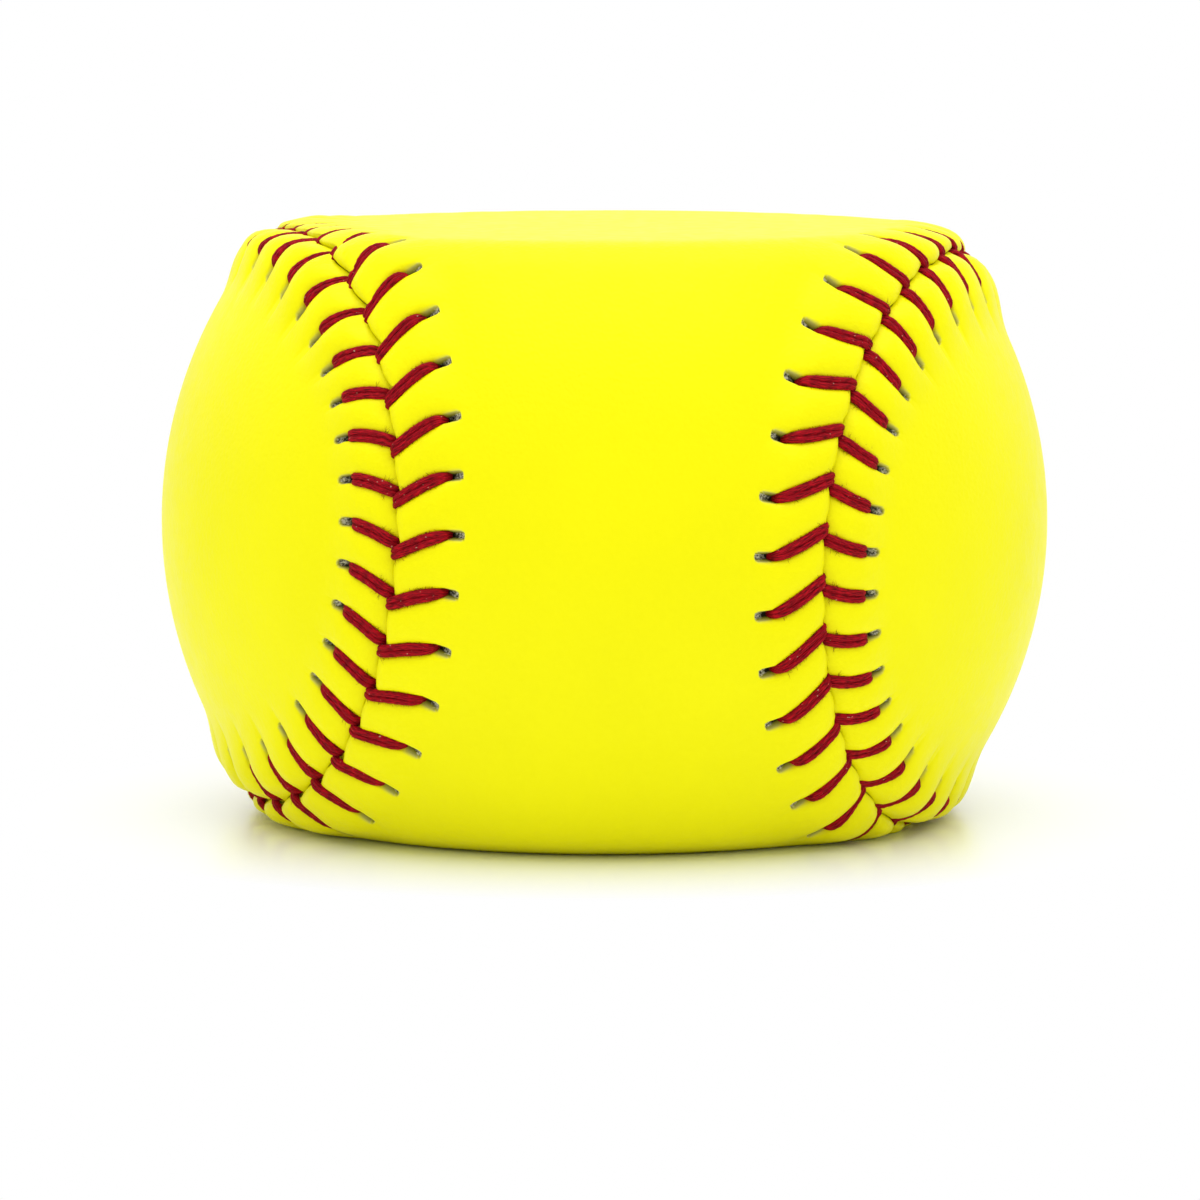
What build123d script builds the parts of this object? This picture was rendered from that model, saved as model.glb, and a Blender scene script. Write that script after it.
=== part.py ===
from build123d import *
import os
from math import atan2, cos, hypot, pi, radians, sin, sqrt

# Flat-sided softball. Millimetres, origin at the centre of the ball, +Z up through the upper
# flat face. The waist of the front cover panel faces -Y.

# Ball
ball_circumference = 304.8    # round the girth, 12 inches
flat_distance = 64.5          # from the lower flat face to the upper one
rim_radius = 7.0              # rounding between a flat face and the girth

# Layers
edge_thickness = 1.2          # leather left over the hidden thread along the seam
coat_thickness = 0.4          # rubber cement round the core
glue_line = 0.05              # clearance between two layers

# Seam, one closed curve round the ball
waist_angle = 26.9            # half width of a panel's waist, seen from the centre
side_angle = 39.8             # height of the seam at the sides, seen from the centre
lobe_fullness = 0.032         # how far the panel lobes are squared off
cover_turn = (-1.5, 2.7, 0.6)  # how the sewn cover sits on the core, degrees about X, Y and Z
seam_gap = 0.3                # between the two panel edges

# Stitches
stitch_count = 88             # pairs of legs round the whole seam, an even number
stitch_start = 0.60           # place of the first V, in stitches from the right of the front waist
right_lead = 0.52             # how far the Vs at the right of the front run ahead, degrees
waist_spread = 0.82           # how far the Vs open out at the panels' waists, degrees
thread_diameter = 0.8
thread_clearance = 0.1        # round the thread in its slits and under the panels
thread_sink = 0.2             # how deep the middle of a leg lies in the leather
thread_bend = 0.6             # radius of the thread's square bend at a slit
hole_distance = 6.2           # from the seam to where a leg comes out
slit_tail = 1.4               # open end of a slit, past the thread
stitch_lean = 3.0             # how far a leg comes out behind the tip of its V
leg_gap = 0.25                # between the two legs of a V where they dive, the back one behind
flat_margin = 0.05            # stitches stay this far under the flat faces

# Sizes that follow. The hidden thread has one clearance over it and two under it.
ball_radius = ball_circumference / (2 * pi)
half_height = flat_distance / 2
thread_radius = thread_diameter / 2
leg_spacing = thread_diameter + leg_gap
channel_radius = thread_radius + thread_clearance
hidden_depth = edge_thickness + channel_radius
cover_thickness = hidden_depth + channel_radius + thread_clearance
relief_width = hole_distance + slit_tail
coat_depth = cover_thickness + glue_line
core_depth = coat_depth + coat_thickness + glue_line

# The rim rounding is a ring about the Z axis.
ring_height = half_height - rim_radius
ring_radius = sqrt((ball_radius - rim_radius) ** 2 - ring_height ** 2)
ring_start = atan2(ring_height, ring_radius)

# Sides of the seam
FRONT = 1
BACK = -1


def ball(depth):
    """Solid inside the ball's surface, the given depth under it."""
    top = half_height - depth
    rim = rim_radius - depth
    radius = ball_radius - depth
    rim_turn = (ring_start + pi / 2) / 2
    rim_mid = Vector(ring_radius + rim * cos(rim_turn), 0, ring_height + rim * sin(rim_turn))
    rim_low = Vector(radius * cos(ring_start), 0, radius * sin(ring_start))
    rim_top = Vector(ring_radius, 0, top)
    upper = [
        Edge.make_line((0, 0, top), rim_top),
        Edge.make_three_point_arc(rim_top, rim_mid, rim_low),
    ]
    lower = [edge.mirror(Plane.XY) for edge in upper]
    girth = Edge.make_three_point_arc(rim_low, (radius, 0, 0), (rim_low.X, 0, -rim_low.Z))
    axis = Edge.make_line((0, 0, -top), (0, 0, top))
    return revolve(Face(Wire([*upper, girth, *lower, axis])), Axis.Z)


def surface(direction):
    """Point of the ball's surface in a direction from the centre, and the outward normal there."""
    direction = direction.normalized()
    across = hypot(direction.X, direction.Y)
    side = 1 if direction.Z >= 0 else -1
    height = abs(direction.Z)
    if atan2(height, across) <= ring_start:
        return direction * ball_radius, direction
    if half_height / height * across <= ring_radius:
        return direction * (half_height / height), Vector(0, 0, side)
    along = across * ring_radius + height * ring_height
    reach = along + sqrt(along ** 2 - ring_radius ** 2 - ring_height ** 2 + rim_radius ** 2)
    share = ring_radius / across
    ring = Vector(direction.X * share, direction.Y * share, side * ring_height)
    return direction * reach, (direction * reach - ring).normalized()


def buried(direction, depth):
    """Point at a depth under the surface."""
    point, normal = surface(direction)
    return point - normal * depth


def seam(angle):
    """Direction of the seam at an angle in degrees: 0 is the right of the front waist."""
    t = radians(angle)
    waist = sin(radians(waist_angle))
    wide = sqrt(2) * cos(radians(side_angle))
    high = sqrt(2) * sin(radians(side_angle))
    x = (waist + wide) / 2 * cos(t) + (waist - wide) / 2 * cos(3 * t) + lobe_fullness * (cos(5 * t) - cos(t))
    y = -cos(radians(waist_angle)) * cos(2 * t)
    z = (waist + high) / 2 * sin(t) + (high - waist) / 2 * sin(3 * t) + lobe_fullness * (sin(5 * t) - sin(t))
    direction = Vector(x, y, z).normalized()
    for axis, turn in zip((Axis.X, Axis.Y, Axis.Z), cover_turn):
        direction = direction.rotate(axis, turn)
    return direction


def seam_speed(angle):
    """Millimetres of seam for each degree."""
    return (surface(seam(angle + 0.5))[0] - surface(seam(angle - 0.5))[0]).length


def beside_seam(angle, side, distance):
    """Direction of the point that lies a distance from the seam along the cover, on one panel."""
    start = seam(angle)
    heading = side * start.cross(seam(angle + 0.5) - seam(angle - 0.5)).normalized()
    turn_step = 0.5
    turn = 0
    covered = 0
    here = surface(start)[0]
    while covered < distance:
        turn += turn_step
        there = surface(start * cos(radians(turn)) + heading * sin(radians(turn)))[0]
        stride = (there - here).length
        covered += stride
        here = there
    turn -= turn_step * (covered - distance) / stride
    return start * cos(radians(turn)) + heading * sin(radians(turn))


def stitch_angle(stitch):
    """Seam angle of the tip of a V."""
    even = (stitch + stitch_start) * 360 / stitch_count
    return even + right_lead * cos(radians(even)) + waist_spread * sin(radians(2 * even))


def hole(stitch, side):
    """Direction where a leg comes out of its slit."""
    angle = stitch_angle(stitch)
    return beside_seam(angle - stitch_lean / seam_speed(angle), side, hole_distance)


def dive(stitch, side):
    """Direction where a leg dives into the seam."""
    angle = stitch_angle(stitch)
    setback = thread_radius if side == FRONT else thread_radius + leg_spacing
    return seam(angle - setback / seam_speed(angle))


def run(start, end):
    """Directions along a straight run of thread, close enough together to follow the rim."""
    return [(start * (1 - share) + end * share).normalized() for share in (0, 1 / 3, 2 / 3, 1)]


def leg(stitch, side):
    """One leg of a stitch: the plane that holds it, its middle line and its two hidden ends.

    The line and the ends are in the plane's own coordinates, each with the outward normal.
    """
    highest = half_height - flat_margin - thread_radius
    directions = run(hole(stitch, side), dive(stitch, side))
    points = [buried(direction, thread_sink) for direction in directions]
    points = [Vector(point.X, point.Y, max(-highest, min(highest, point.Z))) for point in points]
    along = points[-1] - points[0]
    plane = Plane(points[0], x_dir=along, z_dir=along.cross(surface(points[1] + points[2])[1]))

    def flattened(point):
        local = plane.to_local_coords(point)
        return Vector(local.X, local.Y)

    line = []
    for point in points:
        normal = flattened(point + surface(point)[1]) - flattened(point)
        line.append((flattened(point), normal.normalized()))
    hidden = [flattened(buried(direction, hidden_depth)) for direction in (directions[0], directions[-1])]
    return plane, line, hidden


def seam_band(half_width):
    """Ring of solid along the seam, its flat sides aimed at the centre of the ball."""
    inner = half_height / 2
    outer = ball_radius * 2
    rows = []
    for stitch in range(stitch_count):
        front = beside_seam(stitch_angle(stitch), FRONT, half_width)
        back = beside_seam(stitch_angle(stitch), BACK, half_width)
        rows.append((back * inner, front * inner, front * outer, back * outer))
    faces = []
    for row, after in zip(rows, rows[1:] + rows[:1]):
        for a, b in ((1, 2), (3, 0)):
            faces.append(Face(Wire.make_polygon([row[a], row[b], after[b], after[a]])))
        for a, b in ((0, 1), (2, 3)):
            faces.append(Face(Wire.make_polygon([row[a], row[b], after[b]])))
            faces.append(Face(Wire.make_polygon([row[a], after[b], after[a]])))
    return Solid(Shell(faces))


def slit(stitch, side):
    """Cutter for one leg: its slit, its groove and its notch at the seam."""
    plane, line, _ = leg(stitch, side)

    def beside(place, forward, up):
        point, normal = line[place]
        return point + Vector(normal.Y, -normal.X) * forward + normal * up

    tail = -slit_tail - thread_radius
    wall = channel_radius + thread_clearance
    floor = -wall
    through = -hidden_depth
    above = hole_distance
    outline = [
        beside(0, tail, above), beside(0, tail, through), beside(0, wall, through), beside(0, wall, floor),
        beside(1, 0, floor), beside(2, 0, floor),
        beside(3, -wall, floor), beside(3, -wall, through),
        beside(3, channel_radius, through), beside(3, channel_radius, above),
    ]
    return extrude(plane * make_face(Polyline(*outline, close=True)), channel_radius, both=True)


def thread_route(first_side):
    """Corners of one thread: out of a slit, over to the seam, down, and under to the other panel."""
    points = []
    for stitch in range(stitch_count):
        side = first_side if stitch % 2 == 0 else -first_side
        plane, line, hidden = leg(stitch, side)
        for point in (hidden[0], *[point for point, _ in line], hidden[1]):
            points.append(plane.from_local_coords(point))
        under = run(dive(stitch, side), hole(stitch + 1, -side))[1:-1]
        points += [buried(direction, hidden_depth) for direction in under]
    return points


def rounded(points):
    """Wire through the corners, each one rounded. A corner that barely turns is left out."""
    least_turn = 0.5
    corners = points[:1]
    for corner, after in zip(points[1:], points[2:]):
        if (corner - corners[-1]).get_angle(after - corner) > least_turn:
            corners.append(corner)
    corners.append(points[-1])
    edges = []
    here = corners[0]
    for before, corner, after in zip(corners, corners[1:], corners[2:]):
        arrive = (corner - before).normalized()
        leave = (after - corner).normalized()
        shorter = min((corner - before).length, (after - corner).length)
        cut = min(0.45 * shorter, thread_bend)
        start = corner - arrive * cut
        edges.append(Edge.make_line(here, start))
        here = corner + leave * cut
        edges.append(Edge.make_tangent_arc(start, arrive, here))
    edges.append(Edge.make_line(here, corners[-1]))
    return Wire(edges)


def thread(first_side):
    """One needle's thread, along the whole seam."""
    path = rounded(thread_route(first_side))
    section = Plane(path @ 0, z_dir=path % 0) * Circle(thread_radius)
    return sweep(section, path)


def cover_panels():
    """The two sewn panels, the front one first."""
    relief = seam_band(relief_width) & (ball(edge_thickness) - ball(core_depth))
    slits = [slit(stitch, side) for stitch in range(stitch_count) for side in (FRONT, BACK)]
    shell = ball(0) - ball(cover_thickness) - relief
    pieces = shell - [seam_band(seam_gap / 2), *slits]
    panels = pieces.solids().sort_by(SortBy.VOLUME)[-2:]
    return panels.sort_by(Axis.Y)


cover_front, cover_back = cover_panels()
nodes = {
    "core": ball(core_depth),
    "rubber_coat": ball(coat_depth) - ball(coat_depth + coat_thickness),
    "cover_panel_front": cover_front,
    "cover_panel_back": cover_back,
    "thread_first_needle": thread(FRONT),
    "thread_second_needle": thread(BACK),
}

os.makedirs("parts", exist_ok=True)
for name, shape in nodes.items():
    export_step(shape, f"parts/{name}.step")
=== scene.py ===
from math import atan2, cos, pi, radians, sin, sqrt

import bpy
import numpy as np
from mathutils import Matrix, Vector


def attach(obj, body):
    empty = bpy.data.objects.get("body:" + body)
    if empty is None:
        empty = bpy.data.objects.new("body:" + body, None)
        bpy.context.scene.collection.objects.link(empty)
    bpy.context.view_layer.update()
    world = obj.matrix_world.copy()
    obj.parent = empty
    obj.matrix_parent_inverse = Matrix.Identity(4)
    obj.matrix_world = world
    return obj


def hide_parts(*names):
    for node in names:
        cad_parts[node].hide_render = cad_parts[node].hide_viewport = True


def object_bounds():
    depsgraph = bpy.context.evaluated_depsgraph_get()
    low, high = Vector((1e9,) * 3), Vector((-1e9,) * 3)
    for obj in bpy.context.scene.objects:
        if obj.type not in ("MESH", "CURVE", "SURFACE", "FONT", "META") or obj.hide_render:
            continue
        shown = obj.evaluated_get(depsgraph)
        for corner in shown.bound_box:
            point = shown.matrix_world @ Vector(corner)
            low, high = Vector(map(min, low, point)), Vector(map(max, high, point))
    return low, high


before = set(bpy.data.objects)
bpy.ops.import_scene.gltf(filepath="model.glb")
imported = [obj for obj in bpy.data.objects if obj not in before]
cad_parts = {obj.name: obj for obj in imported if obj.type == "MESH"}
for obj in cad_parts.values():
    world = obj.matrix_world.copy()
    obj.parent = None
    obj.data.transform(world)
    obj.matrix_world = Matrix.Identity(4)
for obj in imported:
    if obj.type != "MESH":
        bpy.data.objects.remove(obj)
cad_low, cad_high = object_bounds()
chance = np.random.default_rng(seed=88)

# Lengths are in metres, angles in radians. Bands and other pairs give a start and an end.
MM = 0.001
tiny = 1e-9
FRONT = 1
BACK = -1

# Ball
ball_radius = (cad_high.x - cad_low.x) / 2
half_height = (cad_high.z - cad_low.z) / 2
rim_radius = 7.0 * MM
cover_thickness = 2.3 * MM
edge_thickness = 1.2 * MM
ring_height = half_height - rim_radius
ring_radius = sqrt((ball_radius - rim_radius) ** 2 - ring_height ** 2)
ring_start = atan2(ring_height, ring_radius)

# Seam, as in the solids
waist_angle = radians(26.9)
side_angle = radians(39.8)
lobe_fullness = 0.032
cover_turn = (radians(-1.5), radians(2.7), radians(0.6))

# Steps for measuring along the seam and across the cover
seam_step = radians(0.5)
path_points = 9
path_rounds = 4

# Places of the stitches round the seam
stitch_count = 88
stitch_start = 0.60
stitch_pitch = 2 * pi / stitch_count
right_lead = radians(0.52)
waist_spread = radians(0.82)

# Shares of half the ball's height over which the stitching changes
waist_band = (0.25, 0.75)
pinch_band = (0.3, 0.8)
corner_band = (0.5, 0.9)
flat_band = (0.93, 0.998)

# Lie of the legs
hole_distance = 6.2 * MM
stitch_lean = 3.0 * MM
waist_lean = 0.65 * MM
lean_twist = 0.42 * MM
lean_limit = 0.92
tip_setback = {FRONT: 0.90 * MM, BACK: 1.85 * MM}
swap_start = (radians(318), radians(330))
swap_end = (radians(346), radians(355))
leg_bow = 0.3 * MM
corner_bow = {FRONT: 0.35 * MM, BACK: 0.8 * MM}

# Pinch of the leather over the legs near the corners
flat_pinch_loss = 0.85
lower_seam_pinch = 1.2
upper_hole_pinch = 0.45
seam_pinch_band = (0.4 * MM, 5.0 * MM)
hole_pinch_band = (2.0 * MM, 5.2 * MM)

# Stray of the panels' edge between two Vs, from the left to the right of the ball
right_band = (-0.4, 0.4)
drift_reach = (0.85 * MM, 0.35 * MM)
drift_rise = 0.62
drift_fall = (0.78, 1.0)
bulge_reach = (0.15 * MM, 0.35 * MM)
bulge_length = 0.7
edge_setback = 0.15 * MM
drift_fade = 1.5 * MM

# Rounded corners of the lobes, at the first or the last share of the way between two Vs
corner_rounding = 0.15 * MM
front_rounding = (0.0, 0.22)
back_rounding = (0.84, 1.0)
rounding_fade = 0.9 * MM

# Puffed leather
welt_height = (0.32 * MM, 0.12 * MM)
welt_band = (4.2 * MM, 9.6 * MM)
bed_depth = 0.16 * MM
bed_band = (5.0 * MM, 8.0 * MM)
lobe_puff = 0.72 * MM
corner_puff = {FRONT: 0.28 * MM, BACK: 0.42 * MM}
flat_puff_loss = 0.6
puff_start = 3.4 * MM
puff_end = (8.8 * MM, 11.0 * MM)
valley_width = (0.52 * MM, 0.20 * MM)
arch_power = 0.62
shoulder_width = {FRONT: 1.5 * MM, BACK: 2.8 * MM}
edge_dip = {FRONT: 0.10 * MM, BACK: 0.32 * MM}
tuck_depth = (0.40 * MM, 0.20 * MM)
tuck_start = (0.25, 0.62)
tuck_end = (0.85, 1.0)
tuck_fade = 1.0 * MM

# Slits
slit_width = {FRONT: 0.82 * MM, BACK: 0.98 * MM}
slit_start = {FRONT: 5.4 * MM, BACK: 5.1 * MM}
slit_end = {FRONT: 7.55 * MM, BACK: 7.05 * MM}
slit_spread = 0.15 * MM
slit_opening = (-0.6 * MM, -0.2 * MM)
slit_softness = 0.04 * MM
slit_depth = (1.35 * MM, 0.40 * MM)
lip_width = 0.07 * MM
lip_rise = 1.0 * MM


def unit(vectors):
    """Vectors made one unit long."""
    return vectors / np.linalg.norm(vectors, axis=-1, keepdims=True)


def ease(low, high, values):
    """0 below low, 1 above high, and a smooth rise between them."""
    share = np.clip((values - low) / (high - low), 0, 1)
    return share * share * (3 - 2 * share)


def between(ends, share):
    """What lies a share of the way from one end to the other."""
    first, last = ends
    return first + (last - first) * share


def surface(directions):
    """Points of the ball in directions from its centre, and the outward normals there."""
    directions = unit(directions)
    across = np.maximum(np.hypot(directions[..., 0], directions[..., 1]), tiny)
    height = np.maximum(np.abs(directions[..., 2]), tiny)
    side = np.where(directions[..., 2] < 0, -1.0, 1.0)
    along = across * ring_radius + height * ring_height
    inside = along ** 2 - ring_radius ** 2 - ring_height ** 2 + rim_radius ** 2
    rim_reach = along + np.sqrt(np.maximum(inside, 0))
    flat_reach = half_height / height
    on_girth = np.arctan2(height, across) <= ring_start
    on_flat = flat_reach * across <= ring_radius
    reach = np.where(on_girth, ball_radius, np.where(on_flat, flat_reach, rim_reach))
    points = directions * reach[..., None]
    ring = directions * (ring_radius / across)[..., None]
    ring[..., 2] = side * ring_height
    up = np.zeros_like(directions)
    up[..., 2] = side
    normals = np.where(on_flat[..., None], up, unit(points - ring))
    return points, np.where(on_girth[..., None], directions, normals)


def height_share(points):
    """Distance above or below the ball's middle, as a share of half its height."""
    return np.abs(points[..., 2]) / half_height


def sewn_on(directions):
    """Directions turned the way the sewn cover sits on the core."""
    for axis, turn in zip("XYZ", cover_turn):
        directions = directions @ np.array(Matrix.Rotation(turn, 3, axis)).T
    return directions


def seam(angle):
    """Directions of the seam: angle 0 is the right of the front waist."""
    waist = sin(waist_angle)
    wide = sqrt(2) * cos(side_angle)
    high = sqrt(2) * sin(side_angle)
    x = (waist + wide) / 2 * np.cos(angle) + (waist - wide) / 2 * np.cos(3 * angle)
    z = (waist + high) / 2 * np.sin(angle) + (high - waist) / 2 * np.sin(3 * angle)
    x = x + lobe_fullness * (np.cos(5 * angle) - np.cos(angle))
    z = z + lobe_fullness * (np.sin(5 * angle) - np.sin(angle))
    y = -cos(waist_angle) * np.cos(2 * angle)
    return sewn_on(unit(np.stack([x, y, z], -1)))


def seam_points(angle):
    """Points of the seam on the ball."""
    return surface(seam(angle))[0]


def seam_speed(angle):
    """Metres of seam for each radian."""
    chord = seam_points(angle + seam_step) - seam_points(angle - seam_step)
    return np.linalg.norm(chord, axis=-1) / (2 * seam_step)


def beside_seam(angle, offset):
    """Directions of points an offset along the cover from the seam, plus towards the front panel."""
    start = seam(angle)
    heading = unit(np.cross(start, seam(angle + seam_step) - seam(angle - seam_step)))
    turn = offset / ball_radius
    shares = np.linspace(0, 1, path_points)
    for _ in range(path_rounds):
        steps = (turn[..., None] * shares)[..., None]
        path = start[..., None, :] * np.cos(steps) + heading[..., None, :] * np.sin(steps)
        strides = np.diff(surface(path)[0], axis=-2)
        length = np.linalg.norm(strides, axis=-1).sum(-1)
        turn = turn * np.abs(offset) / np.maximum(length, tiny)
    return start * np.cos(turn)[..., None] + heading * np.sin(turn)[..., None]


# Shape of the stitched leather

even_angles = (np.arange(stitch_count) + stitch_start) * stitch_pitch
waist_shift = waist_spread * np.sin(2 * even_angles)
stitch_angles = even_angles + right_lead * np.cos(even_angles) + waist_shift
stitch_speeds = seam_speed(stitch_angles)


def stitch_draw(low, high):
    """One random number for each stitch."""
    return chance.uniform(low, high, stitch_count)


lobe_swell = {side: stitch_draw(0.85, 1.15) for side in (FRONT, BACK)}
slit_draw = {side: stitch_draw(-slit_spread, slit_spread) for side in (FRONT, BACK)}
drift_draw = stitch_draw(0.75, 1.25)
bulge_draw = stitch_draw(0.3, 1.2)


def stitch_place(angle):
    """The V that a seam angle comes after, and the share of the way on to the next one."""
    last = stitch_angles[-1:] - 2 * pi
    first = stitch_angles[:1] + 2 * pi
    around = np.concatenate([last, stitch_angles, first])
    place = np.interp(np.mod(angle, 2 * pi), around, np.arange(-1, stitch_count + 1))
    before = np.floor(place).astype(int)
    return before % stitch_count, place - before


def corner_share(angle):
    """0 where the seam crosses the girth, 1 where it crosses a rim."""
    return ease(*corner_band, height_share(seam_points(angle)))


def flat_share(points):
    """0 on the girth and most of the rims, 1 on the flat faces."""
    return ease(*flat_band, height_share(points))


def pinch(angle):
    """How far the leather closes over the legs near the corners, at their seam ends and their holes."""
    points = seam_points(angle)
    below = points[..., 2] < 0
    share = ease(*pinch_band, height_share(points))
    turn = share * (1 - flat_pinch_loss * flat_share(points)) * np.sin(2 * angle)
    at_seam = np.maximum(-turn, 0) * np.where(below, lower_seam_pinch, 1.0)
    at_hole = np.maximum(turn, 0) * np.where(below, 1.0, upper_hole_pinch)
    return at_seam, at_hole


def setback(side, angle):
    """How far behind its V's tip a leg meets the seam. The legs change places at the lower right."""
    turn = np.mod(angle, 2 * pi)
    swapped = ease(*swap_start, turn) * (1 - ease(*swap_end, turn))
    return between((tip_setback[side], tip_setback[-side]), swapped)


def leg_shift(side, angle, distance):
    """How far along the seam a leg's middle line lies from the tip of its V."""
    share = np.minimum(distance / hole_distance, lean_limit)
    tip = setback(side, angle)
    waist = 1 - ease(*waist_band, height_share(seam_points(angle)))
    lean = stitch_lean + (waist_lean + lean_twist * side * np.cos(angle)) * waist
    bow = leg_bow - corner_bow[side] * corner_share(angle) * np.sin(2 * angle)
    return -tip - (lean - tip) * share - bow * np.sin(pi * share)


def seam_drift(angle):
    """How far the edge where the panels meet strays towards the front panel between two Vs."""
    before, share = stitch_place(angle)
    right = ease(*right_band, np.cos(angle))
    drift = np.minimum(share / drift_rise, 1) * (1 - ease(*drift_fall, share))
    drift = between(drift_reach, right) * drift * drift_draw[before]
    bulge = np.sin(pi * np.minimum(share / bulge_length, 1))
    bulge = between(bulge_reach, right) * bulge * bulge_draw[before]
    return drift - bulge - edge_setback


def welt(points, distance):
    """Height of the raised band along the seam."""
    return between(welt_height, flat_share(points)) * (1 - ease(*welt_band, distance))


def leg_bed(points, distance):
    """Height of the leather under a leg."""
    return welt(points, distance) - bed_depth * (1 - ease(*bed_band, distance))


def edge_tuck(angle, distance):
    """How far the back panel's edge tucks under the front panel's between two Vs."""
    share = stitch_place(angle)[1]
    along = ease(*tuck_start, share) * (1 - ease(*tuck_end, share))
    return between(tuck_depth, corner_share(angle)) * along * np.exp(-distance / tuck_fade)


def leather_height(side, points, angle, stitch, aside, distance):
    """Height of the sewn leather over the ball, aside of a leg and at a distance from the seam."""
    corner = corner_share(angle)
    half_pitch = stitch_speeds[stitch] * stitch_pitch / 2
    lobe = np.where(aside >= 0, stitch, stitch - 1) % stitch_count
    seam_pinch, hole_pinch = pinch(angle)
    squeeze = seam_pinch * (1 - ease(*seam_pinch_band, distance))
    squeeze = np.minimum(squeeze + hole_pinch * ease(*hole_pinch_band, distance), 1)
    valley = between(valley_width, squeeze)
    climb = np.clip((np.abs(aside) - valley) / (half_pitch - valley), 0, 1)
    arch = (1 - (1 - climb) ** 2) ** arch_power
    near = np.clip(distance / shoulder_width[side], 0, 1)
    shoulder = np.sqrt(1 - (1 - near) ** 2) if side == FRONT else np.sin(near * pi / 2)
    fade = 1 - ease(puff_start, between(puff_end, corner), distance)
    fullness = lobe_puff + corner_puff[side] * corner
    fullness = fullness * (1 - flat_puff_loss * flat_share(points))
    puff = fullness * lobe_swell[side][lobe] * arch * shoulder * fade
    bed = leg_bed(points, distance)
    swollen = np.maximum(welt(points, distance) + puff, bed)
    height = np.where(climb > tiny, swollen, bed) - edge_dip[side] * (1 - shoulder)
    if side == BACK:
        height = height - edge_tuck(angle, distance)
    return height


def slit_shape(side, stitch, aside, distance):
    """How far a point is in a slit, its place along the slit, and how near it is to the lip."""
    start = slit_start[side]
    end = slit_end[side] + slit_draw[side][stitch]
    half = slit_width[side] / 2
    reach = np.hypot(aside, np.maximum(distance - (end - half), 0))
    opened = ease(*slit_opening, distance - start)
    inside = (1 - ease(half - slit_softness, half + slit_softness, reach)) * opened
    place = np.clip((distance - start) / (end - start), 0, 1)
    lip = np.exp(-((reach - half) / lip_width) ** 2) * ease(start, start + lip_rise, distance)
    return inside, place, lip


def pressed(points):
    """Points kept from going under the floor that the ball stands on."""
    points[..., 2] = np.maximum(points[..., 2], -half_height)
    return points


# Meshes

merge_distance = 0.001 * MM


def laid_grid(name, points):
    """Grid primitive laid over an array of points, rows by columns."""
    rows, columns = points.shape[:2]
    bpy.ops.object.select_all(action="DESELECT")
    bpy.ops.mesh.primitive_grid_add(
        x_subdivisions=columns - 1, y_subdivisions=rows - 1, size=1, calc_uvs=True
    )
    piece = bpy.context.active_object
    piece.name = name
    piece.data.name = name
    piece.data.vertices.foreach_set("co", points.reshape(-1))
    piece.data.update()
    return piece


def keep_value(piece, name, values):
    """One number for each corner of a mesh, for its material."""
    layer = piece.data.attributes.new(name, "FLOAT", "POINT")
    layer.data.foreach_set("value", values.reshape(-1).astype(np.float32))


def mark_row(piece, name, row, columns):
    """Vertex group of one row of a grid."""
    group = piece.vertex_groups.new(name=name)
    start = row * columns
    group.add(list(range(start, start + columns)), 1.0, "REPLACE")


def joined(pieces):
    """Several pieces made one, kept under the first one's name."""
    bpy.ops.object.select_all(action="DESELECT")
    for piece in pieces:
        piece.select_set(True)
    bpy.context.view_layer.objects.active = pieces[0]
    bpy.ops.object.join()
    return pieces[0]


def closed(piece, bridges=()):
    """Doubles merged, marked rows bridged, faces turned outwards, shaded smooth."""
    bpy.ops.object.mode_set(mode="EDIT")
    bpy.ops.mesh.select_mode(type="VERT")
    bpy.ops.mesh.select_all(action="SELECT")
    bpy.ops.mesh.remove_doubles(threshold=merge_distance)
    for name in bridges:
        bpy.ops.mesh.select_all(action="DESELECT")
        bpy.ops.object.vertex_group_set_active(group=name)
        bpy.ops.object.vertex_group_select()
        bpy.ops.mesh.bridge_edge_loops()
    bpy.ops.mesh.select_all(action="SELECT")
    bpy.ops.mesh.delete_loose()
    bpy.ops.mesh.select_all(action="SELECT")
    bpy.ops.mesh.normals_make_consistent(inside=False)
    bpy.ops.object.mode_set(mode="OBJECT")
    bpy.ops.object.shade_smooth()
    piece.vertex_groups.clear()
    return piece


# Cover panels

# Columns beside each leg, and rows by their distance from the seam
half_columns = np.array([0.2, 0.42, 0.50, 0.66, 1.0, 1.5, 2.1]) * MM
leg_columns = np.concatenate([-half_columns[::-1], [0], half_columns])
seam_rows = np.array([0.05, 0.12, 0.22, 0.36, 0.55, 0.8, 1.1, 1.5, 2.0, 2.6, 3.2, 3.7, 4.2]) * MM
slit_rows = np.arange(4.6, 7.85, 0.12) * MM
outer_rows = np.array([8.0, 8.3, 8.8, 9.4, 10.1, 10.9, 11.8]) * MM
border_rows = np.concatenate([seam_rows, slit_rows, outer_rows])

# Distance from the seam and height of the rows up a panel's edge
edge_rows = np.array([(0.6, -1.2), (0.2, -1.2), (0.06, -1.05), (0.03, -0.7), (0.03, -0.35)]) * MM

# The rest of a panel: its face at the surface and its lining at the leather's thickness
field_columns = 4 * stitch_count
field_start = 12.7 * MM
field_depths = np.zeros(30)
lining_start = 1.2 * MM
lining_shares = ease(0.25, 0.4, np.linspace(0, 1, 10))
lining_depths = between((edge_thickness, cover_thickness), lining_shares)
spine_reach = radians(100)

# What the leather's finish reads: painted shade along the seam's crease, and the sewn band beside it
painted_seam_shade_fade = 0.22 * MM
sewn_band = (3.0 * MM, 9.8 * MM)


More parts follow.
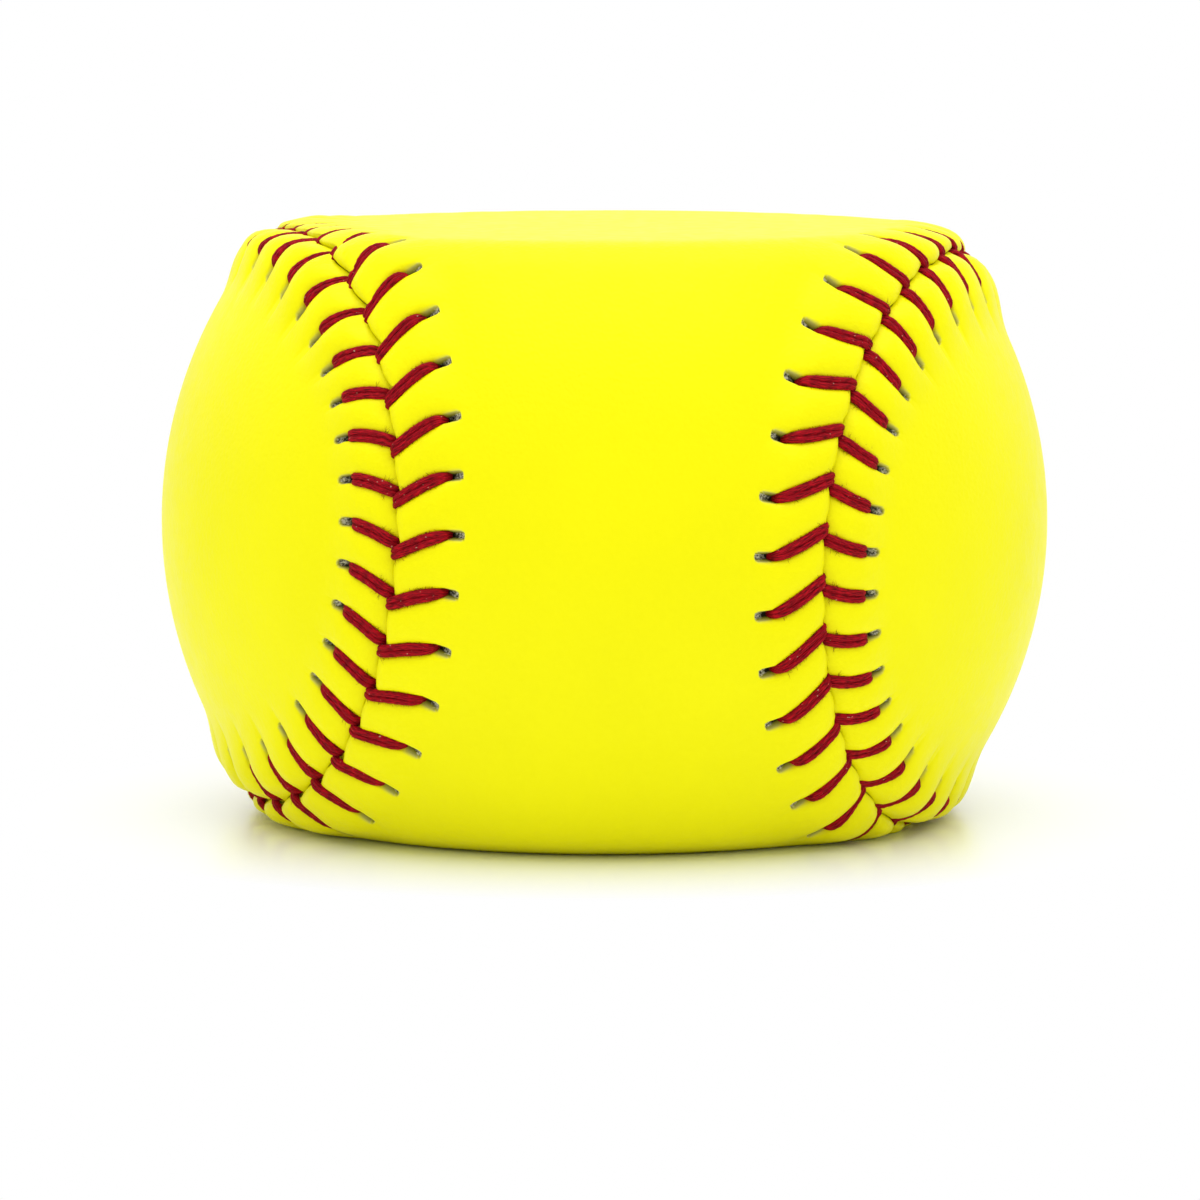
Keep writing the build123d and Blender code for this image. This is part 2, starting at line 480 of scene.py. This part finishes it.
def spine(side, angle):
    """Directions of the middle line of a panel, where the columns from both its sides meet."""
    if side == FRONT:
        turn = spine_reach * np.sin(angle)
        middle = np.stack([np.zeros_like(turn), -np.cos(turn), np.sin(turn)], -1)
    else:
        turn = spine_reach * np.cos(angle)
        middle = np.stack([np.sin(turn), np.cos(turn), np.zeros_like(turn)], -1)
    return sewn_on(middle)


def border_columns():
    """Seam angle, stitch and distance from the leg of each column of a panel's stitched border."""
    angles = []
    stitches = []
    asides = []
    for stitch in range(stitch_count):
        middle = stitch_angles[stitch]
        speed = stitch_speeds[stitch]
        halfway = np.mod(middle - stitch_angles[stitch - 1], 2 * pi) / 2
        angles.append(middle - halfway)
        asides.append(-halfway * speed)
        angles.extend(middle + leg_columns / speed)
        asides.extend(leg_columns)
        stitches.extend([stitch] * (len(leg_columns) + 1))
    angles.append(angles[0] + 2 * pi)
    asides.append(asides[0])
    stitches.append(stitches[0])
    return np.array(angles), np.array(stitches), np.array(asides)


def along_cover(side, base, distance):
    """Seam angle and offset of points at a distance from the seam, on columns that lean as the legs do."""
    angle = base + leg_shift(side, base, distance) / seam_speed(base)
    offset = side * distance + seam_drift(angle) * np.exp(-distance / drift_fade)
    share = stitch_place(angle)[1]
    rounding = 1 - ease(*front_rounding, share) if side == FRONT else ease(*back_rounding, share)
    offset = offset + side * corner_rounding * rounding * np.exp(-distance / rounding_fade)
    return angle, offset


def panel_border(name, side):
    """Stitched border of a panel: its edge in the seam, its puffed lobes and its slits."""
    base, stitch, aside = border_columns()
    rows = np.concatenate([edge_rows[:, 0], border_rows])
    columns = len(base)
    shape = (len(rows), columns)
    distance = np.broadcast_to(rows[:, None], shape)
    base = np.broadcast_to(base, shape)
    stitch = np.broadcast_to(stitch, shape)
    aside = np.broadcast_to(aside, shape)
    angle, offset = along_cover(side, base, distance)
    points, normals = surface(beside_seam(angle, offset))
    inside, place, lip = slit_shape(side, stitch, aside, distance)
    height = leather_height(side, points, angle, stitch, aside, distance)
    height = height - inside * between(slit_depth, place)
    # Painted shade: the leather is tinted darker olive in the seam's crease, fading within a fraction of a
    # millimetre of it
    painted_seam_shade = np.exp(-distance / painted_seam_shade_fade)
    edges = len(edge_rows)
    height[:edges] = edge_rows[:, 1][:, None]
    inside[:edges] = 0
    lip[:edges] = 0
    painted_seam_shade[:edges] = 1
    piece = laid_grid(name, pressed(points + normals * height[..., None]))
    keep_value(piece, "slit", inside)
    keep_value(piece, "slit_place", place * inside)
    keep_value(piece, "slit_lip", lip)
    keep_value(piece, "painted_seam_shade", painted_seam_shade)
    keep_value(piece, "sewn", 1 - ease(*sewn_band, distance))
    mark_row(piece, "inner_join", 0, columns)
    mark_row(piece, "outer_join", len(rows) - 1, columns)
    return piece


def panel_field(name, side, start, depths, group):
    """Sheet from a distance beside the seam to the panel's spine, its rows at depths under the surface."""
    base = np.arange(field_columns + 1) * 2 * pi / field_columns
    outer = beside_seam(*along_cover(side, base, np.full_like(base, start)))
    inner = spine(side, base)
    gap = np.arccos(np.clip((outer * inner).sum(-1), -1, 1))
    shares = np.linspace(0, 1, len(depths))[:, None]
    outer_weight = np.sin((1 - shares) * gap) / np.sin(gap)
    inner_weight = np.sin(shares * gap) / np.sin(gap)
    points, normals = surface(outer * outer_weight[..., None] + inner * inner_weight[..., None])
    piece = laid_grid(name, points - normals * depths[:, None, None])
    mark_row(piece, group, 0, len(base))
    return piece


def cover_panel(name, side):
    """One leather panel as a closed shell."""
    border = panel_border(name, side)
    field = panel_field(name + "_field", side, field_start, field_depths, "outer_join")
    lining = panel_field(name + "_lining", side, lining_start, lining_depths, "inner_join")
    return closed(joined([border, field, lining]), ("outer_join", "inner_join"))


# Threads

strand_radius = 0.38 * MM
strand_spread = 1.10
strand_phases = {1: 0.0, -1: 1.9}
ring_sides = 12
ply_count = 3
ply_depth = 0.055
lay_length = 2.6 * MM
leg_rings = 31
under_rings = 5
smooth_rounds = 3
hidden_height = -1.7 * MM

# Lift of the legs: with the corners, down to the flat faces and into the pinched leather
outwards_band = (0.5 * MM, 4.5 * MM)
corner_lift = {FRONT: 0.05 * MM, BACK: 0.20 * MM}
flat_sink = 0.40 * MM
seam_sink = 0.50 * MM
hole_sink = 0.35 * MM

# Legs from the hole to the seam: distance from the seam, height, and half the spread of the strands
front_leg = [
    (5.70, -1.7, 0.12), (5.62, -1.0, 0.12), (5.52, -0.35, 0.13), (5.38, 0.12, 0.16),
    (5.10, 0.40, 0.21), (4.6, 0.51, 0.26), (4.0, 0.56, 0.295), (3.2, 0.58, 0.315),
    (2.2, 0.58, 0.31), (1.2, 0.58, 0.30), (0.6, 0.60, 0.29), (0.2, 0.55, 0.27),
    (-0.10, 0.30, 0.25), (-0.27, -0.25, 0.23), (-0.33, -0.9, 0.21), (-0.35, -1.7, 0.20),
]
back_leg = [
    (5.35, -1.7, 0.22), (5.27, -1.0, 0.24), (5.17, -0.35, 0.26), (5.05, 0.15, 0.28),
    (4.8, 0.46, 0.295), (4.4, 0.54, 0.31), (3.8, 0.56, 0.315), (3.2, 0.56, 0.31),
    (2.2, 0.55, 0.305), (1.3, 0.53, 0.295), (0.7, 0.42, 0.28), (0.3, 0.12, 0.26),
    (0.0, -0.35, 0.24), (-0.15, -0.9, 0.22), (-0.2, -1.7, 0.20),
]
legs = {FRONT: np.array(front_leg) * MM, BACK: np.array(back_leg) * MM}

# Stray fibres: where they start beside and over the thread, and how they stand off it
fibre_count = 2600
fibre_sides = 3
fibre_radius = 0.016 * MM
fibre_beside = 0.62 * MM
fibre_over = 0.05 * MM
fibre_bend = 0.6
shown_height = 0.4 * MM

# Share of a fibre's length and its thickness there
fibre_rings = [(0.0, 0.0), (0.15, 1.0), (0.55, 0.9), (1.0, 0.0)]


def even_steps(points, count):
    """A run of points spread evenly over a bent line."""
    lengths = np.linalg.norm(np.diff(points[:, :2], axis=0), axis=1)
    places = np.concatenate([[0], np.cumsum(lengths)])
    wanted = np.linspace(0, places[-1], count)
    return np.stack([np.interp(wanted, places, column) for column in points.T], 1)


def leg_line(side, stitch):
    """Seam angle, offset, height and spread along one leg, from its hole to its dive into the seam."""
    angle = stitch_angles[stitch]
    distance, height, spread = even_steps(legs[side], leg_rings).T
    angles = angle + leg_shift(side, angle, distance) / stitch_speeds[stitch]
    offsets = side * distance
    points = surface(beside_seam(angles, offsets))[0]
    seam_pinch, hole_pinch = pinch(angles)
    outwards = ease(*outwards_band, distance)
    lift = welt(points, np.maximum(distance, 0)) - welt_height[0]
    lift = lift + corner_lift[side] * corner_share(angles) * outwards
    lift = lift - flat_sink * flat_share(points)
    lift = lift - seam_sink * seam_pinch * (1 - outwards) - hole_sink * hole_pinch * outwards
    heights = height + np.where(height > 0, lift, 0)
    return np.stack([angles, offsets, heights, spread], 1)


def thread_line(first_side):
    """Seam angle, offset, height and spread along one needle's thread, round the whole seam."""
    rows = []
    shares = np.linspace(0, 1, under_rings + 2)[1:-1, None]
    for stitch in range(stitch_count):
        side = first_side if stitch % 2 == 0 else -first_side
        rows.append(leg_line(side, stitch))
        dive = rows[-1][-1]
        after = (stitch + 1) % stitch_count
        angle = stitch_angles[stitch]
        after_angle = angle + np.mod(stitch_angles[after] - angle, 2 * pi)
        distance, _, spread = legs[-side][0]
        hole_angle = after_angle + leg_shift(-side, after_angle, distance) / stitch_speeds[after]
        hole = np.array([hole_angle, -side * distance, hidden_height, spread])
        rows.append(between((dive, hole), shares))
    return np.concatenate(rows)


def smoothed(values):
    """A closed run of values, each drawn towards its neighbours."""
    for _ in range(smooth_rounds):
        values = values / 2 + (np.roll(values, 1, 0) + np.roll(values, -1, 0)) / 4
    return values


def thread_frame(line):
    """Middle line of a thread and the directions along, beside and over it."""
    angle, offset, height = line[:, 0], line[:, 1], line[:, 2]
    points, normals = surface(beside_seam(angle, offset))
    points = smoothed(points + normals * height[:, None])
    ahead = surface(beside_seam(angle + seam_step, offset))[0]
    behind = surface(beside_seam(angle - seam_step, offset))[0]
    along = unit(np.roll(points, -1, 0) - np.roll(points, 1, 0))
    beside = unit(ahead - behind)
    beside = unit(beside - along * (beside * along).sum(-1, keepdims=True))
    return points, along, beside, np.cross(along, beside)


def rings_round(first, second, turns):
    """Directions round a line at each of its points, turned from a first direction to a second."""
    return first[:, None] * np.cos(turns)[:, None] + second[:, None] * np.sin(turns)[:, None]


def strand(name, line, strand_side):
    """One twisted strand of a thread."""
    points, _, beside, over = thread_frame(line)
    middle = points + beside * (smoothed(line[:, 3:4]) * strand_side * strand_spread)
    lengths = np.linalg.norm(np.roll(middle, -1, 0) - middle, axis=1)
    places = np.concatenate([[0], np.cumsum(lengths)])[:-1, None]
    turns = np.linspace(0, 2 * pi, ring_sides + 1) - pi / 2
    twist = ply_count * turns - 2 * pi * ply_count * (places / lay_length) + strand_phases[strand_side]
    radius = strand_radius * (1 + ply_depth * np.cos(twist))
    radius[:, -1] = radius[:, 0]
    body = middle[:, None] + rings_round(beside, over, turns) * radius[..., None]
    return laid_grid(name, pressed(np.concatenate([body, body[:1]])))


def fibre_draw(low, high):
    """One random number for each fibre."""
    return chance.uniform(low, high, fibre_count)[:, None]


def stray_fibres(name, line):
    """Short hairs that stand off the sides of a thread, each a thin tube with pointed ends."""
    shown = np.flatnonzero(line[:, 2] > shown_height)
    start = chance.choice(shown, fibre_count)
    side = chance.choice([-1.0, 1.0], fibre_count)[:, None]
    length = fibre_draw(0.35 * MM, 1.1 * MM)
    sweep = fibre_draw(-0.9, 0.9)
    lift = fibre_draw(-0.1, 0.35)
    droop = fibre_draw(0.1, 0.7)
    sway = fibre_draw(-0.5, 0.5)
    points, along, beside, over = (values[start] for values in thread_frame(line))
    root = points + beside * side * fibre_beside + over * fibre_over
    heading = unit(beside * side + along * sweep + over * lift)
    curl = along * sway - over * droop
    across = rings_round(over, along, np.linspace(0, 2 * pi, fibre_sides + 1))
    rings = []
    for share, thickness in fibre_rings:
        middle = root + heading * length * share + curl * length * share ** 2 * fibre_bend
        rings.append(middle[:, None] + across * fibre_radius * thickness)
    body = np.stack(rings, 1).reshape(fibre_count * len(rings), fibre_sides + 1, 3)
    return laid_grid(name, pressed(body))


def thread(name, first_side):
    """One needle's thread: two strands side by side, with their stray fibres."""
    line = thread_line(first_side)
    strands = [strand(name, line, 1), strand(name + "_second", line, -1)]
    fibres = stray_fibres(name + "_fibres", line)
    return closed(joined([*strands, fibres]))


# Finishes


class Finish:
    """A node material around one Principled shader."""

    def __init__(self, name):
        self.material = bpy.data.materials.new(name)
        self.material.use_nodes = True
        self.nodes = self.material.node_tree.nodes
        self.links = self.material.node_tree.links
        self.shader = self.nodes["Principled BSDF"]

    def node(self, kind, settings=None, **inputs):
        """A node with its settings, and its inputs set or linked by name."""
        made = self.nodes.new(kind)
        for key, value in (settings or {}).items():
            setattr(made, key, value)
        self.feed_all(made, inputs)
        return made

    def feed(self, socket, value):
        """An input set to a value or linked to an output."""
        if isinstance(value, bpy.types.NodeSocket):
            self.links.new(value, socket)
        else:
            socket.default_value = value

    def feed_all(self, node, inputs):
        """Inputs of a node, by their names with _ for a space."""
        for key, value in inputs.items():
            self.feed(node.inputs[key.replace("_", " ")], value)

    def shade(self, **inputs):
        """The shader's own inputs."""
        self.feed_all(self.shader, inputs)
        return self.material

    def value(self, name):
        """Number that a mesh keeps for its material."""
        return self.node("ShaderNodeAttribute", {"attribute_name": name}).outputs["Fac"]

    def coordinates(self, kind="Object"):
        """Places on the piece, or on its own UV map."""
        return self.node("ShaderNodeTexCoord").outputs[kind]

    def noise(self, scale, detail=3.0, roughness=0.5, vector=None):
        """Noise in Object coordinates or along a vector, scale in features to a unit."""
        vector = vector or self.coordinates()
        made = self.node(
            "ShaderNodeTexNoise", Scale=scale, Detail=detail, Roughness=roughness, Vector=vector
        )
        return made.outputs["Fac"]

    def cells(self, scale):
        """Distance from the middles of small cells, scale in cells to a metre."""
        made = self.node(
            "ShaderNodeTexVoronoi", {"feature": "F1"}, Scale=scale, Vector=self.coordinates()
        )
        return made.outputs["Distance"]

    def spread(self, value, low=0.3, high=0.7, start=0.0, end=1.0):
        """A number taken from one range, that of most noise, to another."""
        made = self.node(
            "ShaderNodeMapRange", Value=value, From_Min=low, From_Max=high, To_Min=start, To_Max=end
        )
        return made.outputs["Result"]

    def combine(self, kind, first, second):
        """Two numbers joined by a Math node."""
        made = self.node("ShaderNodeMath", {"operation": kind})
        self.feed(made.inputs[0], first)
        self.feed(made.inputs[1], second)
        return made.outputs["Value"]

    def blend(self, share, first, second):
        """Two colours mixed by a share."""
        made = self.node("ShaderNodeMix", {"data_type": "RGBA"})
        self.feed(made.inputs["Factor"], share)
        self.feed(made.inputs["A"], first)
        self.feed(made.inputs["B"], second)
        return made.outputs["Result"]

    def bump(self, height, distance, below=None):
        """Fine relief, over another relief if there is one."""
        made = self.node("ShaderNodeBump", Height=height, Distance=distance, Strength=1.0)
        if below is not None:
            self.feed(made.inputs["Normal"], below)
        return made.outputs["Normal"]


def colour(red, green, blue):
    """Colour of a node socket."""
    return (red, green, blue, 1.0)


def optic_yellow_leather():
    """Yellow leather with fine grain, painted shade along the seam's crease, and pale torn lining in its
    slits with near-black painted shade deep in them.
    """
    deep_yellow = colour(0.920, 0.868, 0.0)
    bright_yellow = colour(0.945, 0.892, 0.0)
    # Olive of the painted shade in the seam's crease
    painted_seam_shade_olive = colour(0.30, 0.27, 0.004)
    lip_cream = colour(0.62, 0.60, 0.36)
    nap_dark = colour(0.06, 0.06, 0.035)
    nap_cream = colour(0.78, 0.76, 0.62)
    # Near black of the painted shade deep in each slit, by the thread
    painted_hole_shade = colour(0.014, 0.011, 0.004)
    finish = Finish("optic_yellow_leather")

    patches = finish.spread(finish.noise(scale=70, detail=2.0))
    face = finish.blend(patches, deep_yellow, bright_yellow)
    # Painted shade: a quarter of the way to olive along the seam's crease
    painted_seam_shaded = finish.combine("MULTIPLY", finish.value("painted_seam_shade"), 0.25)
    face = finish.blend(painted_seam_shaded, face, painted_seam_shade_olive)
    lip = finish.combine("MULTIPLY", finish.value("slit_lip"), 0.55)
    face = finish.blend(lip, face, lip_cream)

    nap = finish.noise(scale=4200, detail=4.0, roughness=0.65)
    nap_colour = finish.blend(finish.spread(nap, low=0.42, high=0.60), nap_dark, nap_cream)
    ragged = finish.spread(finish.noise(scale=2600), start=-0.2, end=0.2)
    place = finish.combine("ADD", finish.value("slit_place"), ragged)
    # Painted shade: the slit's lining is near black by the thread, going over to the torn pale nap towards
    # the slit's outer end
    lining = finish.blend(finish.spread(place, low=0.42, high=0.78), painted_hole_shade, nap_colour)
    slit = finish.value("slit")
    skin = finish.blend(slit, face, lining)

    pores = finish.combine("MULTIPLY", finish.cells(scale=1700), 0.6)
    grain = finish.combine("ADD", finish.noise(scale=2600, roughness=0.55), pores)
    puckers = finish.noise(scale=900, detail=4.0, roughness=0.6)
    puckers = finish.combine("MULTIPLY", puckers, finish.value("sewn"))
    relief = finish.bump(grain, 0.035 * MM, below=finish.bump(puckers, 0.10 * MM))
    rough = finish.spread(finish.noise(scale=600), start=0.36, end=0.46)
    rough = finish.combine("ADD", rough, finish.combine("MULTIPLY", slit, 0.4))
    return finish.shade(Base_Color=skin, Roughness=rough, Normal=relief, Specular_IOR_Level=0.10)


def red_waxed_thread():
    """Red thread with streaks along its fibres and a few pale specks of painted glint."""
    dark_red = colour(0.11, 0.0008, 0.004)
    bright_red = colour(0.54, 0.004, 0.015)
    painted_glint_pink = colour(0.72, 0.50, 0.36)
    finish = Finish("red_waxed_thread")
    along_thread = finish.node(
        "ShaderNodeMapping",
        Vector=finish.coordinates("UV"),
        Rotation=(0, 0, radians(3)),
        Scale=(12.0, 760.0, 1.0),
    )
    fibres = finish.noise(scale=1.6, detail=4.0, roughness=0.6, vector=along_thread.outputs["Vector"])
    red = finish.blend(finish.spread(fibres, low=0.38, high=0.64), dark_red, bright_red)
    # Painted glints: pale pink specks scattered at random over the thread
    painted_glints = finish.noise(scale=2600, detail=2.0, roughness=0.4)
    painted_glints = finish.combine("MULTIPLY", finish.spread(painted_glints, low=0.73, high=0.77), 0.7)
    return finish.shade(
        Base_Color=finish.blend(painted_glints, red, painted_glint_pink),
        Normal=finish.bump(fibres, 0.15 * MM),
        Roughness=0.6,
        Specular_IOR_Level=0.08,
        Sheen_Weight=0.02,
        Sheen_Tint=colour(0.9, 0.35, 0.35),
    )


def cream_core_foam():
    """Cream foam with small cells."""
    finish = Finish("cream_core_foam")
    tone = finish.spread(finish.noise(scale=120))
    cream = finish.blend(tone, colour(0.80, 0.72, 0.56), colour(0.88, 0.82, 0.68))
    relief = finish.bump(finish.cells(scale=1100), 0.2 * MM)
    return finish.shade(Base_Color=cream, Normal=relief, Roughness=0.85)


def dried_rubber_cement():
    """Brushed coat of rubber cement, uneven in tone and gloss."""
    finish = Finish("dried_rubber_cement")
    strokes = finish.noise(scale=260, detail=4.0, roughness=0.6)
    tone = finish.blend(finish.spread(strokes), colour(0.70, 0.62, 0.42), colour(0.82, 0.76, 0.58))
    rough = finish.spread(finish.noise(scale=400), start=0.35, end=0.6)
    return finish.shade(Base_Color=tone, Roughness=rough, Normal=finish.bump(strokes, 0.15 * MM))


def finished(piece, material):
    """A piece with one material all over."""
    piece.data.materials.clear()
    piece.data.materials.append(material)
    return piece


leather = optic_yellow_leather()
waxed_thread = red_waxed_thread()

front_panel = finished(cover_panel("front_leather_panel", FRONT), leather)
back_panel = finished(cover_panel("back_leather_panel", BACK), leather)
first_thread = finished(thread("first_needle_thread", FRONT), waxed_thread)
second_thread = finished(thread("second_needle_thread", BACK), waxed_thread)

for piece, node, slot in (
    (front_panel, "cover_panel_front", "cover_leather"),
    (back_panel, "cover_panel_back", "cover_leather"),
    (first_thread, "thread_first_needle", "waxed_thread"),
    (second_thread, "thread_second_needle", "waxed_thread"),
):
    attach(piece, "root")
    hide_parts(node)

for node, material in (("core", cream_core_foam()), ("rubber_coat", dried_rubber_cement())):
    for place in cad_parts[node].material_slots:
        place.material = material


# Floor, light and camera

white = colour(1.0, 1.0, 1.0)
floor_size = 8.0
floor_fade = (0.050, 0.072)
floor_glow = 0.12
picture_pixels = 1200
pixels_sideways = -4.5
pixels_upwards = -81.7
camera_distance = 0.7
camera_elevation = radians(5.49)


def aimed_at_ball(place):
    """Rotation of a lamp or camera that looks from its place at the ball's centre."""
    return (-Vector(place)).to_track_quat("-Z", "Y").to_euler()


def studio_floor():
    """Pale floor that fades to plain white away from the ball."""
    bpy.ops.object.select_all(action="DESELECT")
    bpy.ops.mesh.primitive_grid_add(x_subdivisions=8, y_subdivisions=8, size=floor_size)
    floor = bpy.context.active_object
    floor.name = "studio_floor"
    for vertex in floor.data.vertices:
        vertex.co.z = -half_height
    finish = Finish("white_floor")
    reach = finish.node("ShaderNodeVectorMath", {"operation": "LENGTH"})
    finish.feed(reach.inputs[0], finish.coordinates())
    far = finish.spread(reach.outputs["Value"], *floor_fade)
    seen = finish.node("ShaderNodeLightPath").outputs["Is Camera Ray"]
    unseen = finish.combine("SUBTRACT", 1.0, seen)
    glow = finish.combine("MULTIPLY", finish.combine("MULTIPLY", far, unseen), floor_glow)
    finish.shade(
        Base_Color=colour(0.94, 0.97, 0.93),
        Roughness=0.35,
        Coat_Weight=1.0,
        Coat_Roughness=0.28,
        Coat_IOR=1.6,
        Emission_Color=white,
        Emission_Strength=glow,
    )
    plain = finish.node("ShaderNodeEmission", Color=white, Strength=1.0)
    mixed = finish.node("ShaderNodeMixShader")
    finish.feed(mixed.inputs[0], finish.combine("MULTIPLY", far, seen))
    finish.feed(mixed.inputs[1], finish.shader.outputs["BSDF"])
    finish.feed(mixed.inputs[2], plain.outputs["Emission"])
    finish.feed(finish.nodes["Material Output"].inputs["Surface"], mixed.outputs["Shader"])
    finished(floor, finish.material)


def studio_world():
    """White surroundings, brighter above and behind the ball, and plain white to the camera."""
    world = bpy.data.worlds.new("studio")
    bpy.context.scene.world = world
    world.use_nodes = True
    nodes, links = world.node_tree.nodes, world.node_tree.links
    background = nodes["Background"]
    background.inputs["Color"].default_value = white
    heading = nodes.new("ShaderNodeTexCoord")
    parts = nodes.new("ShaderNodeSeparateXYZ")
    links.new(heading.outputs["Generated"], parts.inputs["Vector"])
    behind_and_above = nodes.new("ShaderNodeMath")
    behind_and_above.operation = "ADD"
    links.new(parts.outputs["Y"], behind_and_above.inputs[0])
    links.new(parts.outputs["Z"], behind_and_above.inputs[1])
    level = nodes.new("ShaderNodeMapRange")
    for key, number in (("From Min", 0.1), ("From Max", 1.3), ("To Min", 0.76), ("To Max", 1.0)):
        level.inputs[key].default_value = number
    links.new(behind_and_above.outputs["Value"], level.inputs["Value"])
    path = nodes.new("ShaderNodeLightPath")
    strength = nodes.new("ShaderNodeMix")
    links.new(path.outputs["Is Camera Ray"], strength.inputs["Factor"])
    links.new(level.outputs["Result"], strength.inputs["A"])
    strength.inputs["B"].default_value = 1.0
    links.new(strength.outputs["Result"], background.inputs["Strength"])


def softbox(name, place, size, power):
    """Square area light aimed at the ball."""
    bpy.ops.object.select_all(action="DESELECT")
    bpy.ops.object.light_add(type="AREA", location=place, rotation=aimed_at_ball(place))
    lamp = bpy.context.active_object
    lamp.name = name
    lamp.data.shape = "SQUARE"
    lamp.data.size = size
    lamp.data.energy = power


def photo_camera():
    """Camera at the photograph's viewing angle."""
    in_front = -camera_distance * cos(camera_elevation)
    above = camera_distance * sin(camera_elevation)
    place = (0, in_front, above)
    bpy.ops.object.camera_add(location=place, rotation=aimed_at_ball(place))
    camera = bpy.context.active_object
    camera.name = "photo_camera"
    camera.data.sensor_width = 36.0
    camera.data.lens = 191.3
    camera.data.shift_x = pixels_sideways / picture_pixels
    camera.data.shift_y = pixels_upwards / picture_pixels
    camera.data.clip_start = 0.01
    camera.data.clip_end = 50.0
    bpy.context.scene.camera = camera


studio_floor()
studio_world()
softbox("top_light", place=(0.0, -0.15, 0.85), size=1.0, power=5.3)
photo_camera()
bpy.context.scene.view_settings.view_transform = "Standard"
